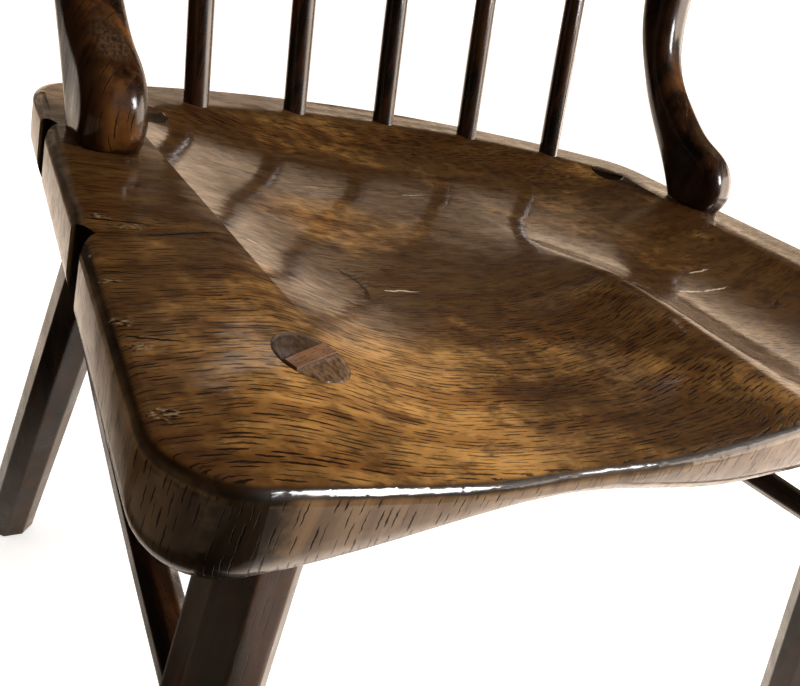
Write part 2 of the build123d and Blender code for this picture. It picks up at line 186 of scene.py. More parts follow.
def newGroup(name, inputs, outputs):
    tree = bpy.data.node_groups.new(name, "ShaderNodeTree")
    tree.interface.new_socket("Vector", in_out="INPUT", socket_type="NodeSocketVector")
    for label, value in inputs.items():
        socket = tree.interface.new_socket(label, in_out="INPUT", socket_type="NodeSocketFloat")
        socket.default_value = value
    for label in outputs:
        kind = "NodeSocketVector" if label == "Normal" else "NodeSocketFloat"
        tree.interface.new_socket(label, in_out="OUTPUT", socket_type=kind)
    ins = tree.nodes.new("NodeGroupInput").outputs
    outs = tree.nodes.new("NodeGroupOutput").inputs
    return tree, ins, outs


def useGroup(tree, group, vector, **values):
    node = addNode(tree, "ShaderNodeGroup", node_tree=group)
    link(tree, vector, node.inputs["Vector"])
    return feed(tree, node, values)


def paint(red, green, blue):
    # a screen colour out of 255 as the linear colour that nodes want
    def linear(value):
        value /= 255
        return value / 12.92 if value <= 0.04045 else ((value + 0.055) / 1.055) ** 2.4
    return (linear(red), linear(green), linear(blue), 1.0)


# open pores of oak: rows of short dashes along x, each with its own length, place and thickness

poreLook = {
    "sizes": {"Length": 0.012, "Gap": 0.0024, "Density": 0.6, "Thickness": 0.2},
    "raggedScale": 420.0,
    "ragged": 0.35,  # how far a dash wanders, as a share of the gap between rows
    "rowShift": 31.0,  # each row starts at a place of its own
    "reach": (0.26, 0.30),  # half a dash's length: the share left to chance, and the least
    "bluntness": 4.0,
    "thickness": (0.5, 0.5),
    "offset": (0.5, 0.25),  # how far off its row's middle a dash lies
    "softness": 0.07,
}


def makePoreGroup(look):
    tree, ins, outs = newGroup("oakPores", look["sizes"], ["Pores"])
    x, y = split(tree, ins["Vector"])[:2]
    ragged = wobble(tree, ins["Vector"], look["raggedScale"], 1.0)
    v = timesPlus(tree, ragged, look["ragged"], over(tree, y, ins["Gap"]))
    row = calc(tree, "FLOOR", v)
    rowChance = addNode(tree, "ShaderNodeTexWhiteNoise", noise_dimensions="1D")
    link(tree, row, rowChance.inputs["W"])
    u = timesPlus(tree, rowChance.outputs["Value"], look["rowShift"], over(tree, x, ins["Length"]))
    chance = addNode(tree, "ShaderNodeTexWhiteNoise", noise_dimensions="2D")
    link(tree, combine(tree, calc(tree, "FLOOR", u), row, 0.0), chance.inputs["Vector"])
    chances = addNode(tree, "ShaderNodeSeparateColor")
    link(tree, chance.outputs["Color"], chances.inputs[0])
    there, size, offset = chances.outputs[:3]
    along = apart(tree, calc(tree, "FRACT", u), 0.5)
    reach = timesPlus(tree, chance.outputs["Value"], *look["reach"])
    ending = calc(tree, "POWER", over(tree, along, reach), look["bluntness"])
    taper = minus(tree, 1.0, ending, clamp=True)
    thickness = times(tree, timesPlus(tree, size, *look["thickness"]), ins["Thickness"])
    middle = timesPlus(tree, offset, *look["offset"])
    across = apart(tree, calc(tree, "FRACT", v), middle)
    depth = minus(tree, times(tree, thickness, taper), across)
    inside = step(tree, depth, 0.0, look["softness"])
    link(tree, times(tree, inside, calc(tree, "LESS_THAN", there, ins["Density"])), outs["Pores"])
    return tree


poreGroup = makePoreGroup(poreLook)


# the rest of the grain along x: fine fibres, slow bands of tone and dark flecks

grainLook = {
    "sizes": {"Length": 0.03, "Gap": 0.003},
    "fibres": (1.0, 4.0, 4.0),  # how closely each noise is packed along and across the grain
    "fibreNoise": (1.0, 3.0, 0.65),
    "bands": (0.3, 0.22, 0.22),
    "bandNoise": (1.0, 4.0, 0.62, 0.5),
    "specks": (5.0, 1.6, 1.6),
    "speckNoise": (1.0, 3.0, 0.7),
    "speckShift": (5.3, 1.7, 8.1),
    "speckEdge": (0.52, 0.66),
    "clusters": (0.9, 0.12, 0.12),  # the specks come in clusters
    "clusterNoise": (1.0, 2.0),
    "clusterShift": (2.9, 4.1, 0.3),
    "clusterEdge": (0.48, 0.66),
}


def makeGrainGroup(look):
    tree, ins, outs = newGroup("oakGrain", look["sizes"], ["Fibres", "Bands", "Flecks"])
    x, y, z = split(tree, ins["Vector"])[:3]
    cells = combine(tree, over(tree, x, ins["Length"]), over(tree, y, ins["Gap"]),
                    over(tree, z, ins["Gap"]))
    fibres = stretchedNoise(tree, cells, look["fibres"], look["fibreNoise"])
    bands = stretchedNoise(tree, cells, look["bands"], look["bandNoise"])
    packed = mapped(tree, cells, location=look["speckShift"], scale=look["specks"])
    specks = step(tree, noise(tree, packed, *look["speckNoise"]), *look["speckEdge"])
    packed = mapped(tree, cells, location=look["clusterShift"], scale=look["clusters"])
    clusters = step(tree, noise(tree, packed, *look["clusterNoise"]), *look["clusterEdge"])
    link(tree, fibres, outs["Fibres"])
    link(tree, bands, outs["Bands"])
    link(tree, times(tree, specks, clusters), outs["Flecks"])
    return tree


grainGroup = makeGrainGroup(grainLook)


# worn edges: where a rounded normal leaves the true one

edgeLook = {
    "sizes": {"Reach": 0.004},
    "samples": 6,
    "lean": (0.01, 0.14),  # how far the rounded normal leans where an edge is worn
    "patchScale": 90.0,
    "patches": (0.3, 0.62),
}


def makeEdgeGroup(look):
    tree, ins, outs = newGroup("edgeWear", look["sizes"], ["Edge", "Normal"])
    rounded = addNode(tree, "ShaderNodeBevel", samples=look["samples"])
    link(tree, ins["Reach"], rounded.inputs["Radius"])
    trueNormal = addNode(tree, "ShaderNodeNewGeometry").outputs["Normal"]
    lean = step(tree, minus(tree, 1.0, dot(tree, rounded.outputs[0], trueNormal)), *look["lean"])
    patches = step(tree, noise(tree, ins["Vector"], look["patchScale"], 3.0), *look["patches"])
    link(tree, times(tree, lean, patches), outs["Edge"])
    link(tree, rounded.outputs[0], outs["Normal"])
    return tree


edgeGroup = makeEdgeGroup(edgeLook)


# a drying crack along the grain from one x to another

crackLook = {
    "sizes": {"FromX": 0.0, "ToX": 0.1, "AtY": 0.0, "Slope": 0.0, "Width": 0.0008},
    "wobbleScale": 160.0,
    "wobble": 0.0035,
    "opens": (0.0, 0.08),  # shares of its length over which it opens and closes
    "closes": (1.0, 0.45),
    "softness": -0.0003,
    "ends": (0.02, 0.1),  # no hairline is left at the ends
}


def makeCrackGroup(look):
    tree, ins, outs = newGroup("dryingCrack", look["sizes"], ["Crack"])
    x, y = split(tree, ins["Vector"])[:2]
    strayed = times(tree, wobble(tree, ins["Vector"], look["wobbleScale"], 3.0), look["wobble"])
    past = minus(tree, x, ins["FromX"])
    line = timesPlus(tree, past, ins["Slope"], ins["AtY"])
    off = apart(tree, plus(tree, y, strayed), line)
    share = over(tree, past, minus(tree, ins["ToX"], ins["FromX"]))
    taper = times(tree, step(tree, share, *look["opens"]), step(tree, share, *look["closes"]))
    outside = minus(tree, off, times(tree, ins["Width"], taper))
    inside = step(tree, outside, 0.0, look["softness"])
    link(tree, times(tree, inside, step(tree, taper, *look["ends"])), outs["Crack"])
    return tree


crackGroup = makeCrackGroup(crackLook)


# an oval patch with a ragged rim; Rim is 0 at the middle and 1 at the rim

patchLook = {
    "sizes": {"AtX": 0.0, "AtY": 0.0, "HalfX": 0.01, "HalfY": 0.01, "Ragged": 0.5},
    "raggedScale": 260.0,
    "edge": (1.0, 0.75),
}


def makePatchGroup(look):
    tree, ins, outs = newGroup("ovalPatch", look["sizes"], ["Inside", "Rim"])
    x, y = split(tree, ins["Vector"])[:2]
    sideways = over(tree, minus(tree, x, ins["AtX"]), ins["HalfX"])
    backward = over(tree, minus(tree, y, ins["AtY"]), ins["HalfY"])
    ragged = wobble(tree, ins["Vector"], look["raggedScale"], 3.0)
    rim = timesPlus(tree, ragged, ins["Ragged"], length(tree, sideways, backward))
    link(tree, step(tree, rim, *look["edge"]), outs["Inside"])
    link(tree, rim, outs["Rim"])
    return tree


patchGroup = makePatchGroup(patchLook)


def ovalPatch(tree, place, mark, ragged):
    atX, atY, halfX, halfY = mark
    return useGroup(tree, patchGroup, place, AtX=atX, AtY=atY, HalfX=halfX, HalfY=halfY,
                    Ragged=ragged)


print("shader groups ready")


def newMaterial(name):
    material = bpy.data.materials.new(name)
    material.use_nodes = True
    tree = material.node_tree
    return material, tree, tree.nodes["Principled BSDF"]


def surface(tree):
    # a point's place on the chair, and the parts of the way that the surface faces
    place = addNode(tree, "ShaderNodeTexCoord").outputs["Object"]
    normal = addNode(tree, "ShaderNodeNewGeometry").outputs["Normal"]
    return place, split(tree, normal)


# the seat plank

seatLook = {
    "gold": paint(192, 142, 78),
    "brown": paint(136, 90, 42),
    "dark": paint(51, 28, 11),
    "pore": paint(24, 12, 5),
    "black": paint(14, 8, 4),
    "side": paint(140, 109, 76),
    "sideDark": paint(102, 75, 49),
    "torn": paint(124, 106, 80),
    # painted highlight: the colour of the glint lines
    "glintPale": paint(190, 171, 142),
    # soft steps over how far a face looks up, from where to where
    "top": (0.5, 0.8),
    "topPores": (0.84, 0.93),
    "sidePores": (0.5, 0.15),
    "rim": ((0.96, 0.80), (0.25, 0.5)),
    # rows of grain
    "height": 0.44,
    "lean": -1.2,  # growth layers lie aslant, so their lines curve round the carved hollows
    "wanderScale": 9.0,
    "wander": 0.022,
    "knotSwell": (2.8, 0.2, 0.0, 0.010),  # the rows bend round the knot
    "coarse": {"Length": 0.016, "Gap": 0.0023, "Density": 0.92, "Thickness": 0.25},
    "fine": {"Length": 0.006, "Gap": 0.0019, "Density": 0.5, "Thickness": 0.18},
    "fineShift": (0.37, 0.011, 0),
    "fineShare": 0.7,
    "grain": {"Length": 0.04, "Gap": 0.003},
    "openGrain": (0.3, 0.6, 0.6, 1.0),
    "bands": (0.35, 0.66),
    "fleckShare": 0.8,
    "poreShare": 0.96,
    "sideSlant": -0.12,
    "dashes": {"Length": 0.011, "Gap": 0.0030, "Density": 0.75, "Thickness": 0.16},
    "dashShare": 0.95,
    "sideGrain": {"Length": 0.03, "Gap": 0.0022},
    "sideBands": (0.35, 0.68),
    # polish, dirt, wear and painted shade
    "blotches": (17.0, 5.0, 0.64),
    "mottleStretch": (0.55, 1, 1),
    "mottleNoise": (130.0, 3.0, 0.62),
    "worn": (-0.190, -0.225, 0.10, 0.085),  # the polish is worn to gold round here
    "wornBack": (-0.130, -0.050, 0.10, 0.07),  # and less so further back
    "wornRagged": 0.3,
    "wornBackLess": 0.5,
    "polishMost": 1.2,
    "polishShare": 0.36,
    "patina": (0.56, 0.92, 0.0, 0.88),
    "mottle": (0.46, 0.70, 0.0, 0.65),
    "sideMottle": (0.5, 0.75, 0.0, 0.5),
    # painted shade on the rounded rim, broken up by the blotches
    "rimShade": (0.7, 0.35, 0.6, 1.0),
    "nearCornerShade": (-0.277, -0.268, 0.013, 0.03),  # painted shade: the sides round the near corner are painted black
    "nearCornerShadeRagged": 0.8,
    "nearCornerShadeEdge": (1.3, 0.5, 0.0, 0.9),
    "shadedNotches": (-0.1115, 0.0225),  # painted shade: the side notches are painted black
    "notchHalf": 0.0135,
    "notchCore": 0.7,
    "cracks": [  # from x, to x, y, slope, width
        (-0.279, -0.243, -0.0985, -0.15, 0.0009),
        (-0.259, -0.198, -0.1138, 0.20, 0.0010),
        (-0.284, -0.262, -0.145, -0.25, 0.0006),
        (-0.289, -0.265, -0.190, -0.30, 0.0007),
        (-0.270, -0.222, -0.034, -0.27, 0.0006),
        (-0.130, -0.082, 0.000, 0.20, 0.0007),
        (-0.158, -0.124, -0.1265, 0.02, 0.0006),
    ],
    "paintedGlints": [  # painted highlights: pale glint lines, listed as the cracks are
        (-0.210, -0.202, -0.1025, -0.85, 0.0008),
        (-0.150, -0.122, -0.1300, 0.04, 0.0007),
        (-0.052, -0.024, 0.0065, 0.18, 0.0006),
        (0.004, 0.044, -0.1455, 0.28, 0.0008),
        (0.076, 0.112, -0.1285, 0.05, 0.0009),
        (0.105, 0.146, -0.1270, 0.15, 0.0009),
        (0.122, 0.156, -0.1010, 0.15, 0.0009),
    ],
    "tornPatches": [  # x, y, half width, half depth
        (-0.272, -0.097, 0.005, 0.003),
        (-0.262, -0.105, 0.007, 0.003),
        (-0.282, -0.153, 0.004, 0.002),
        (-0.286, -0.181, 0.004, 0.003),
        (-0.286, -0.197, 0.004, 0.003),
        (-0.289, -0.232, 0.004, 0.004),
    ],
    "tornRagged": 2.2,
    "chipStretch": (0.5, 1, 1),
    "chipNoise": (900.0, 2.0),
    "chips": (0.5, 0.64),  # pale chips and dark pits in the torn spots
    "pits": (0.44, 0.36),
    "knot": (-0.171, -0.128, 0.010, 0.015),
    "scar": (0.144, -0.140, 0.020, 0.012),
    "scarShare": 0.8,
    "knotRagged": 0.35,
    "knotBand": (0.15, 0.04, 0.0, 0.85),
    "knotFade": 0.006,
    # varnish
    "varnish": (0.3, 0.7, 1.0, 0.75),
    "sideVarnish": 0.72,
    "thinned": -0.8,
    "roughness": (0.3, 0.7, 0.30, 0.46),
    "coatRoughness": 0.09,
    "specular": 0.08,
    # relief: distance and strength of each bump
    "sideMiddle": 0.418,  # the sides swell a little round this height
    "sideHalf": 0.022,
    "swell": (0.004, 0.8),
    "creaseX": 0.217,  # the slopes of the hollows begin with a crease on either side
    "creaseHalf": 0.03,
    "creaseFront": (-0.19, -0.12),
    "creaseBack": (0.06, 0.02),
    "crease": (0.0016, 1.0),
    "toolStretch": (0.6, 1, 1),
    "toolNoise": (24.0, 2.0),
    "hewn": (0.004, 0.16),
    "surface": (0.00025, 0.5),
    "brushStretch": (0.15, 1, 0.5),
    "brushNoise": (420.0, 3.0),
    "brushed": (0.0002, 0.35),
    "fibreRise": 0.25,
    "crackDepth": -3.0,
    "chipRise": 4.0,
}


def seatLines(tree, place, lines):
    masks = []
    for fromX, toX, atY, slope, width in lines:
        mask = useGroup(tree, crackGroup, place, FromX=fromX, ToX=toX, AtY=atY, Slope=slope,
                        Width=width)
        masks.append(mask["Crack"])
    return strongest(tree, masks)


def seatTorn(tree, place, look):
    masks = []
    for mark in look["tornPatches"]:
        masks.append(ovalPatch(tree, place, mark, look["tornRagged"])["Inside"])
    return strongest(tree, masks)


def seatNotches(tree, y, look):
    masks = []
    for atY in look["shadedNotches"]:
        edge = (look["notchHalf"], look["notchHalf"] * look["notchCore"])
        masks.append(step(tree, apart(tree, y, atY), *edge))
    return strongest(tree, masks)


def crescent(tree, place, look, mark, sideways):
    # the dark side of a knot's rim
    rim = ovalPatch(tree, place, mark, look["knotRagged"])["Rim"]
    x, y = split(tree, place)[:2]
    side = minus(tree, x, mark[0]) if sideways else minus(tree, mark[1], y)
    band = step(tree, apart(tree, rim, 1.0), *look["knotBand"])
    return times(tree, band, step(tree, side, 0.0, look["knotFade"])), rim


def makeSeatOak(look):
    material, tree, shader = newMaterial("seatOak")
    place, facing = surface(tree)
    top = step(tree, facing["Z"], *look["top"])
    x, y, z = split(tree, place)[:3]
    knotDark, knotRim = crescent(tree, place, look, look["knot"], True)
    scarDark = crescent(tree, place, look, look["scar"], False)[0]

    # rows on the top follow the growth layers, with a swell round the knot
    wander = times(tree, wobble(tree, place, look["wanderScale"], 2.0), look["wander"])
    layer = timesPlus(tree, minus(tree, z, look["height"]), look["lean"], y)
    layer = plus(tree, plus(tree, layer, wander), step(tree, knotRim, *look["knotSwell"]))
    rows = combine(tree, x, layer, 0.0)
    coarse = useGroup(tree, poreGroup, rows, **look["coarse"])["Pores"]
    shifted = mapped(tree, rows, location=look["fineShift"])
    fine = times(tree, useGroup(tree, poreGroup, shifted, **look["fine"])["Pores"],
                 look["fineShare"])
    grain = useGroup(tree, grainGroup, rows, **look["grain"])
    blotch = noise(tree, place, *look["blotches"])
    mottle = stretchedNoise(tree, place, look["mottleStretch"], look["mottleNoise"])
    openGrain = step(tree, grain["Bands"], *look["openGrain"])
    pores = times(tree, strongest(tree, [coarse, fine]), openGrain)
    pores = times(tree, pores, step(tree, facing["Z"], *look["topPores"]))

    # the polish has stayed dark but for the worn middle of the left hollow
    worn = ovalPatch(tree, place, look["worn"], look["wornRagged"])["Rim"]
    wornBack = ovalPatch(tree, place, look["wornBack"], look["wornRagged"])["Rim"]
    polish = calc(tree, "MINIMUM", worn, plus(tree, wornBack, look["wornBackLess"]))
    polish = calc(tree, "MINIMUM", polish, look["polishMost"])
    patina = timesPlus(tree, polish, look["polishShare"], blotch)
    colour = mix(tree, step(tree, grain["Bands"], *look["bands"]), look["gold"], look["brown"])
    colour = mix(tree, step(tree, patina, *look["patina"]), colour, look["dark"])
    colour = mix(tree, step(tree, mottle, *look["mottle"]), colour, look["dark"])
    colour = mix(tree, times(tree, grain["Flecks"], look["fleckShare"]), colour, look["black"])
    colour = mix(tree, times(tree, pores, look["poreShare"]), colour, look["pore"])

    # dashes stand upright on the rounded sides
    around = timesPlus(tree, z, look["sideSlant"], minus(tree, x, y))
    upright = combine(tree, z, around, 0.0)
    sidePores = useGroup(tree, poreGroup, upright, **look["dashes"])["Pores"]
    sidePores = times(tree, sidePores, step(tree, facing["Z"], *look["sidePores"]))
    sideBands = useGroup(tree, grainGroup, upright, **look["sideGrain"])["Bands"]
    sides = mix(tree, step(tree, sideBands, *look["sideBands"]), look["side"], look["sideDark"])
    sides = mix(tree, step(tree, mottle, *look["sideMottle"]), sides, look["sideDark"])
    # painted shade: black on the sides round the near corner
    nearCornerShade = ovalPatch(tree, place, look["nearCornerShade"], look["nearCornerShadeRagged"])["Rim"]
    sides = mix(tree, step(tree, nearCornerShade, *look["nearCornerShadeEdge"]), sides, look["black"])
    sides = mix(tree, times(tree, sidePores, look["dashShare"]), sides, look["black"])
    # painted shade: black in the side notches
    shadedNotches = times(tree, seatNotches(tree, y, look), minus(tree, 1.0, top))
    sides = mix(tree, shadedNotches, sides, look["black"])
    colour = mix(tree, top, sides, colour)
    # painted shade: the band where the top rounds over to the sides is painted black
    rimAbove, rimBelow = look["rim"]
    rim = times(tree, step(tree, facing["Z"], *rimAbove), step(tree, facing["Z"], *rimBelow))
    rim = times(tree, rim, step(tree, blotch, *look["rimShade"]))
    colour = mix(tree, rim, colour, look["black"])

    # cracks, torn spots, the knot and painted highlights
    cracks = seatLines(tree, place, look["cracks"])
    paintedGlints = seatLines(tree, place, look["paintedGlints"])
    torn = seatTorn(tree, place, look)
    chips = stretchedNoise(tree, place, look["chipStretch"], look["chipNoise"])
    pale = times(tree, torn, step(tree, chips, *look["chips"]))
    pits = times(tree, torn, step(tree, chips, *look["pits"]))
    colour = mix(tree, pale, colour, look["torn"])
    colour = mix(tree, pits, colour, look["black"])
    dark = strongest(tree, [times(tree, cracks, top), times(tree, knotDark, top),
                            times(tree, scarDark, look["scarShare"])])
    colour = mix(tree, dark, colour, look["black"])
    # painted highlight: pale glint lines on the top
    colour = mix(tree, times(tree, paintedGlints, top), colour, look["glintPale"])
    link(tree, colour, shader.inputs["Base Color"])

    # the varnish is thin in the pores and on the sides
    grooves = between(tree, top, sidePores, pores)
    varnish = times(tree, step(tree, blotch, *look["varnish"]),
                    between(tree, top, look["sideVarnish"], 1.0))
    hollows = strongest(tree, [grooves, dark, shadedNotches])
    varnish = times(tree, varnish, timesPlus(tree, hollows, look["thinned"], 1.0))
    link(tree, varnish, shader.inputs["Coat Weight"])
    link(tree, step(tree, mottle, *look["roughness"]), shader.inputs["Roughness"])
    shader.inputs["Coat Roughness"].default_value = look["coatRoughness"]
    shader.inputs["Specular IOR Level"].default_value = look["specular"]

    # swollen sides, creased slopes and tool marks, then the pores and cracks
    rise = over(tree, minus(tree, z, look["sideMiddle"]), look["sideHalf"])
    barrel = times(tree, times(tree, rise, rise), minus(tree, top, 1.0))
    swollen = bump(tree, barrel, *look["swell"])
    beside = apart(tree, calc(tree, "ABSOLUTE", x), look["creaseX"])
    tent = minus(tree, 1.0, over(tree, beside, look["creaseHalf"]), clamp=True)
    stretch = times(tree, step(tree, y, *look["creaseFront"]), step(tree, y, *look["creaseBack"]))
    ridge = times(tree, times(tree, tent, tent), stretch)
    creased = bump(tree, ridge, *look["crease"], swollen)
    tooled = stretchedNoise(tree, place, look["toolStretch"], look["toolNoise"])
    hewn = bump(tree, tooled, *look["hewn"], creased)
    height = timesPlus(tree, grooves, -1.0, times(tree, grain["Fibres"], look["fibreRise"]))
    height = timesPlus(tree, dark, look["crackDepth"], height)
    height = timesPlus(tree, times(tree, torn, chips), look["chipRise"], height)
    link(tree, bump(tree, height, *look["surface"], hewn), shader.inputs["Normal"])
    brushed = stretchedNoise(tree, place, look["brushStretch"], look["brushNoise"])
    link(tree, bump(tree, brushed, *look["brushed"], hewn), shader.inputs["Coat Normal"])
    return material


# the shaved and turned frame pieces

frameLook = {
    "amber": paint(108, 67, 29),
    "brown": paint(60, 33, 15),
    "dark": paint(14, 8, 4),
    "end": paint(112, 84, 58),
    "endDark": paint(58, 38, 23),
    "pores": {"Length": 0.022, "Gap": 0.0026, "Density": 0.5, "Thickness": 0.2},
    "grain": {"Length": 0.05, "Gap": 0.004},
    "bands": (0.34, 0.64),
    "speckShare": 0.8,
    "edgeReach": 0.003,
    "edgeSamples": 6,
    "edgeShare": 0.6,
    "blotches": (34.0, 4.0, 0.62),
    "wornAndLit": (0.48, 0.70),  # hands have worn the polish in blotches
    "litSide": (-0.7, 0.3, 0.2, 1.0),  # painted light: the worn amber is faint on sides that face left and full on sides that face right
    "endsFrom": (0.8, 0.95),  # end grain shows where a face looks up
    "rayStretch": (1, 0.45, 1),
    "rayNoise": (620.0, 3.0),
    "rays": (0.34, 0.68),
    "rearShade": (-0.05, 0.05, 0.0, 0.85),  # painted shade: ends are dark towards the back
    "wedgeSide": (-0.515, 0.857, 0.0),  # the near tenon is dark beyond its wedge
    "wedgeAt": -0.0566,
    "beyondFrom": (-0.001, 0.002, 0.0, 0.6),
    "beyondTo": (0.04, 0.03),
    "roughness": (0.3, 0.7, 0.26, 0.40),
    "dull": (0.3, 0.7),
    "dullerBy": 0.3,
    "coatRoughness": 0.10,
    "specular": 0.1,
    "surface": (0.0003, 0.5),
    "facetStretch": (0.3, 1, 1),
    "facetNoise": (60.0, 2.0),
    "facets": (0.002, 0.16),
    "fibreRise": 0.3,
}


def makeFrameOak(name, look, turn, worn, shine=0.8):
    material, tree, shader = newMaterial(name)
    place, facing = surface(tree)
    along = mapped(tree, place, rotation=turn)
    x, y, z = split(tree, along)[:3]
    rows = combine(tree, x, plus(tree, y, z), minus(tree, y, z))
    pores = useGroup(tree, poreGroup, rows, **look["pores"])["Pores"]
    grain = useGroup(tree, grainGroup, along, **look["grain"])
    edge = useGroup(tree, edgeGroup, place, Reach=look["edgeReach"])
    blotch = noise(tree, place, *look["blotches"])
    colour = mix(tree, step(tree, grain["Bands"], *look["bands"]), look["brown"], look["dark"])
    # worn amber blotches, with painted light: faint on the sides that face left
    wornAndLit = times(tree, step(tree, blotch, *look["wornAndLit"], 0.0, worn),
                    step(tree, facing["X"], *look["litSide"]))
    colour = mix(tree, wornAndLit, colour, look["amber"])
    colour = mix(tree, times(tree, edge["Edge"], look["edgeShare"]), colour, look["amber"])
    specks = times(tree, strongest(tree, [pores, grain["Flecks"]]), look["speckShare"])
    colour = mix(tree, specks, colour, look["dark"])
    if turn[1]:  # upright pieces show end grain on top
        rays = stretchedNoise(tree, place, look["rayStretch"], look["rayNoise"])
        ends = mix(tree, step(tree, rays, *look["rays"]), look["end"], look["endDark"])
        # painted shade: end grain darker towards the back
        rear = step(tree, split(tree, place)["Y"], *look["rearShade"])
        ends = mix(tree, rear, ends, look["dark"])
        beyond = minus(tree, dot(tree, place, look["wedgeSide"]), look["wedgeAt"])
        shaded = times(tree, step(tree, beyond, *look["beyondFrom"]),
                       step(tree, beyond, *look["beyondTo"]))
        ends = mix(tree, shaded, ends, look["dark"])
        colour = mix(tree, step(tree, facing["Z"], *look["endsFrom"]), colour, ends)
    link(tree, colour, shader.inputs["Base Color"])
    link(tree, step(tree, blotch, *look["roughness"]), shader.inputs["Roughness"])
    varnish = step(tree, blotch, *look["dull"], shine, shine - look["dullerBy"])
    link(tree, varnish, shader.inputs["Coat Weight"])
    shader.inputs["Coat Roughness"].default_value = look["coatRoughness"]
    shader.inputs["Specular IOR Level"].default_value = look["specular"]

    height = timesPlus(tree, pores, -1.0, times(tree, grain["Fibres"], look["fibreRise"]))
    facets = stretchedNoise(tree, along, look["facetStretch"], look["facetNoise"])
    shaved = bump(tree, facets, *look["facets"], edge["Normal"])
    link(tree, bump(tree, height, *look["surface"], shaved), shader.inputs["Normal"])
    softened = addNode(tree, "ShaderNodeBevel", samples=look["edgeSamples"])
    softened.inputs["Radius"].default_value = look["edgeReach"]
    coated = bump(tree, facets, *look["facets"], softened.outputs[0])
    link(tree, coated, shader.inputs["Coat Normal"])
    return material


# wedges and pegs

wedgeLook = {
    "pale": paint(124, 82, 50),
    "brown": paint(82, 51, 29),
    "dark": paint(32, 19, 10),
    "turn": (0, 0, -0.54),  # the grain runs along the near wedge
    "pores": {"Length": 0.006, "Gap": 0.0014, "Density": 0.5, "Thickness": 0.2},
    "grain": {"Length": 0.012, "Gap": 0.0016},
    "bands": (0.35, 0.65),
    "speckShare": 0.7,
    "rearShade": (-0.05, 0.05, 0.0, 0.7),
    "roughness": (0.3, 0.7, 0.25, 0.4),
    "varnish": 0.6,
    "coatRoughness": 0.12,
    "surface": (0.0003, 0.4),
}


def makeWedgeOak(look):
    material, tree, shader = newMaterial("wedgeOak")
    place = addNode(tree, "ShaderNodeTexCoord").outputs["Object"]
    rows = mapped(tree, place, rotation=look["turn"])
    pores = useGroup(tree, poreGroup, rows, **look["pores"])["Pores"]
    grain = useGroup(tree, grainGroup, rows, **look["grain"])
    colour = mix(tree, step(tree, grain["Bands"], *look["bands"]), look["pale"], look["brown"])
    specks = times(tree, strongest(tree, [pores, grain["Flecks"]]), look["speckShare"])
    colour = mix(tree, specks, colour, look["dark"])
    # painted shade: darker towards the back
    rear = step(tree, split(tree, place)["Y"], *look["rearShade"])
    colour = mix(tree, rear, colour, look["dark"])
    link(tree, colour, shader.inputs["Base Color"])
    link(tree, step(tree, grain["Fibres"], *look["roughness"]), shader.inputs["Roughness"])
    shader.inputs["Coat Weight"].default_value = look["varnish"]
    shader.inputs["Coat Roughness"].default_value = look["coatRoughness"]
    height = timesPlus(tree, pores, -1.0, grain["Fibres"])
    link(tree, bump(tree, height, *look["surface"]), shader.inputs["Normal"])
    return material


seatOak = makeSeatOak(seatLook)
wedgeOak = makeWedgeOak(wedgeLook)
grainUp = (0, math.pi / 2, 0)  # turns the grain from x to where it runs
grainBack = (0, 0, math.pi / 2)
grainAcross = (0, 0, 0)
oakUpright = makeFrameOak("frameOakUpright", frameLook, grainUp, 0.35)
oakStump = makeFrameOak("frameOakStump", frameLook, grainUp, 1.0)
oakSpindle = makeFrameOak("frameOakSpindle", frameLook, grainUp, 0.15, 1.3)
oakDeep = makeFrameOak("frameOakDeep", frameLook, grainBack, 0.4)
oakWide = makeFrameOak("frameOakWide", frameLook, grainAcross, 0.4)


def finishFor(name):
    if name == "seat":
        return seatOak
    if "wedge" in name or "peg" in name:
        return wedgeOak
    if name.startswith("arm_stump"):
        return oakStump
    if name.startswith("spindle"):
        return oakSpindle
    if name in ("cross_stretcher", "comb_rail", "arm_cap"):
        return oakWide
    if name.startswith("side_stretcher") or name in ("arm_left", "arm_right"):
        return oakDeep
    return oakUpright


for name, node in nodes.items():
    for slot in node.material_slots:
        slot.material = finishFor(name)
print("finishes on")


# floor, light and camera

studio = {
    "floorSize": 12.0,
    "floorGrey": 0.8,
    "white": (1, 1, 1, 1),
    "whiteFrom": 0.55,  # near the chair the floor shows its shadow, further out it is plain white
    "whiteBeyond": 1.4,
    "nearGlow": 0.66,
    "lit": (-0.36, -0.12),  # the floor in front of the chair on the left stays unlit
    "litTurn": 0.35,
    "left": (-0.80, -0.56),
    "shadeSpot": 0.25,  # and the floor under the back of the chair is dimmer
    "shade": (0.50, 0.25, 1.0, 0.35),
    "wallGlow": 0.92,
    "sideGlow": (-0.45, -0.68, 0.03, 0.36),  # a weak glow on the left
    "sideBack": (0.4, 0.1),
    "sunnySide": Vector((0.85, 0.53)),  # the bright end of the studio lies behind on the right
    "sunny": (0.3, 0.6),
    "skyline": (0.36, 0.05),
    "skyGlow": 1.45,
    "roomGlow": 0.01,
    "warmWhite": (1.0, 0.74, 0.52, 1.0),  # how the studio looks in the varnish
}


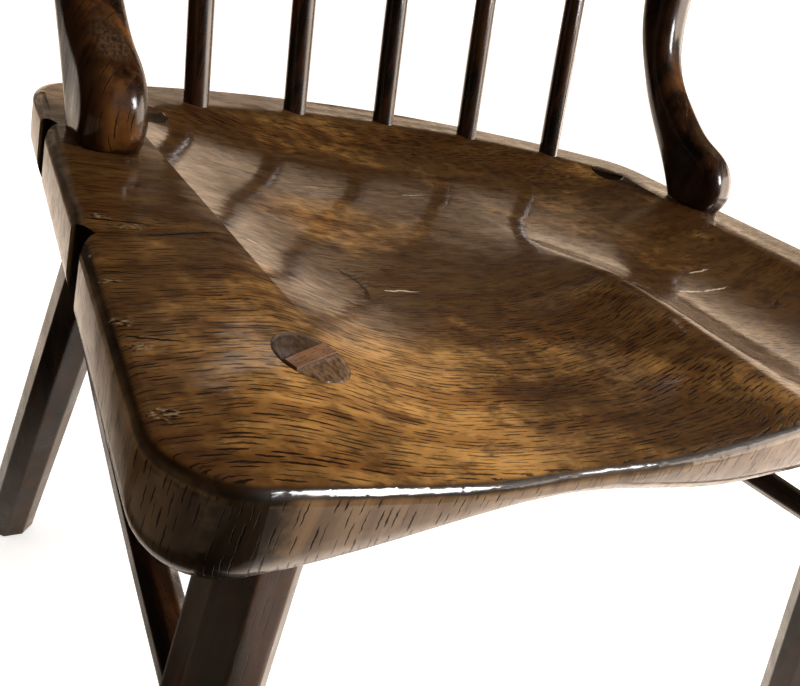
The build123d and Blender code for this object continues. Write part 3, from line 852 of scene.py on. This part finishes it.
def makeFloor(look):
    half = look["floorSize"] / 2
    corners = [(-half, -half, 0), (half, -half, 0), (half, half, 0), (-half, half, 0)]
    mesh = bpy.data.meshes.new("studioFloor")
    mesh.from_pydata(corners, [], [(0, 1, 2, 3)])
    floor = bpy.data.objects.new("studioFloor", mesh)
    bpy.context.scene.collection.objects.link(floor)
    material = bpy.data.materials.new("floorWhite")
    material.use_nodes = True
    tree = material.node_tree
    tree.nodes.clear()
    rays = addNode(tree, "ShaderNodeLightPath").outputs
    x, y = split(tree, addNode(tree, "ShaderNodeTexCoord").outputs["Object"])[:2]
    lit = step(tree, timesPlus(tree, y, look["litTurn"], x), *look["lit"])

    # what the camera sees of it
    paper = addNode(tree, "ShaderNodeBsdfDiffuse")
    grey = times(tree, lit, look["floorGrey"])
    link(tree, combine(tree, grey, grey, grey), paper.inputs["Color"])
    white = step(tree, length(tree, x, y), look["whiteFrom"], look["whiteBeyond"],
                 look["nearGlow"], 1.0)
    seen = times(tree, rays["Is Camera Ray"], between(tree, lit, 1.0, white))

    # what the varnish mirrors of it
    under = length(tree, x, minus(tree, y, look["shadeSpot"]))
    bright = times(tree, times(tree, lit, step(tree, x, *look["left"])),
                   step(tree, under, *look["shade"]))
    dim = times(tree, step(tree, x, *look["sideGlow"]), step(tree, y, *look["sideBack"]))
    shiny = strongest(tree, [rays["Is Glossy Ray"], rays["Is Transmission Ray"]])
    mirrored = times(tree, shiny, between(tree, bright, dim, look["wallGlow"]))

    glow = addNode(tree, "ShaderNodeEmission")
    link(tree, plus(tree, mirrored, seen), glow.inputs["Strength"])
    tint = mix(tree, rays["Is Camera Ray"], look["warmWhite"], look["white"])
    link(tree, tint, glow.inputs["Color"])
    both = addNode(tree, "ShaderNodeAddShader")
    link(tree, paper.outputs[0], both.inputs[0])
    link(tree, glow.outputs[0], both.inputs[1])
    link(tree, both.outputs[0], addNode(tree, "ShaderNodeOutputMaterial").inputs["Surface"])
    mesh.materials.append(material)


def makeWorld(look):
    world = bpy.data.worlds.new("studioWorld")
    world.use_nodes = True
    tree = world.node_tree
    tree.nodes.clear()
    rays = addNode(tree, "ShaderNodeLightPath").outputs
    way = split(tree, addNode(tree, "ShaderNodeTexCoord").outputs["Generated"])
    low = step(tree, way["Z"], *look["skyline"])
    sunny = look["sunnySide"]
    back = timesPlus(tree, way["X"], sunny.x, times(tree, way["Y"], sunny.y))
    glow = times(tree, low, step(tree, back, *look["sunny"]))
    room = timesPlus(tree, glow, look["skyGlow"], look["roomGlow"])
    sky = addNode(tree, "ShaderNodeBackground")
    link(tree, strongest(tree, [rays["Is Camera Ray"], room]), sky.inputs["Strength"])
    tint = mix(tree, rays["Is Camera Ray"], look["warmWhite"], look["white"])
    link(tree, tint, sky.inputs["Color"])
    link(tree, sky.outputs[0], addNode(tree, "ShaderNodeOutputWorld").inputs["Surface"])
    bpy.context.scene.world = world


plainTint = (1, 1, 1)
lamps = {
    "rightSoftbox": {"spot": (0.99, -1.31, 1.54), "aim": (0, 0, 0.44), "size": (0.5, 0.5),
                     "power": 34, "tint": plainTint, "inVarnish": True},
    "sideSoftbox": {"spot": (2.0, -0.70, 0.80), "aim": (0, 0, 0.50), "size": (2.0, 1.2),
                    "power": 42, "tint": (1.0, 0.85, 0.72), "inVarnish": True},
    "leftFill": {"spot": (-1.8, 0.9, 1.2), "aim": (0, 0, 0.50), "size": (1.2, 1.2),
                 "power": 11, "tint": (1.0, 0.9, 0.8), "inVarnish": False},
    "topSoftbox": {"spot": (0.1, 0.5, 2.3), "aim": (0, 0, 0.44), "size": (1.6, 1.2),
                   "power": 18, "tint": plainTint, "inVarnish": False},
}


def addLamp(name, look):
    lamp = bpy.data.lights.new(name, "AREA")
    lamp.color = look["tint"]
    lamp.shape = "RECTANGLE"
    lamp.size, lamp.size_y = look["size"]
    lamp.energy = look["power"]
    lampObject = bpy.data.objects.new(name, lamp)
    lampObject.location = look["spot"]
    beam = Vector(look["aim"]) - Vector(look["spot"])
    lampObject.rotation_euler = beam.to_track_quat("-Z", "Y").to_euler()
    lampObject.visible_glossy = look["inVarnish"]
    bpy.context.scene.collection.objects.link(lampObject)


makeFloor(studio)
makeWorld(studio)
for name, look in lamps.items():
    addLamp(name, look)
print("studio lit")

shot = {
    "spot": (-0.36697, -0.40924, 0.57018),
    "yaw": 40.3073,
    "pitch": 25.4988,
    "roll": 17.6675,
    "lens": 36.9513,
    "sensor": 36,
    "clipStart": 0.01,
}


def makeCamera(look):
    yaw, pitch, roll = (math.radians(look[name]) for name in ("yaw", "pitch", "roll"))
    level = Vector((math.cos(yaw), -math.sin(yaw), 0))
    forward = Vector((math.sin(yaw) * math.cos(pitch), math.cos(yaw) * math.cos(pitch),
                      -math.sin(pitch)))
    above = level.cross(forward)
    right = math.cos(roll) * level + math.sin(roll) * above
    up = -math.sin(roll) * level + math.cos(roll) * above
    camera = bpy.data.cameras.new("photoCamera")
    camera.sensor_width = look["sensor"]
    camera.lens = look["lens"]
    camera.clip_start = look["clipStart"]
    cameraObject = bpy.data.objects.new("photoCamera", camera)
    turned = Matrix((right, up, -forward)).transposed().to_4x4()
    cameraObject.matrix_world = Matrix.Translation(look["spot"]) @ turned
    bpy.context.scene.collection.objects.link(cameraObject)
    bpy.context.scene.camera = cameraObject


makeCamera(shot)
bpy.context.scene.view_settings.view_transform = "Standard"
print("camera set")
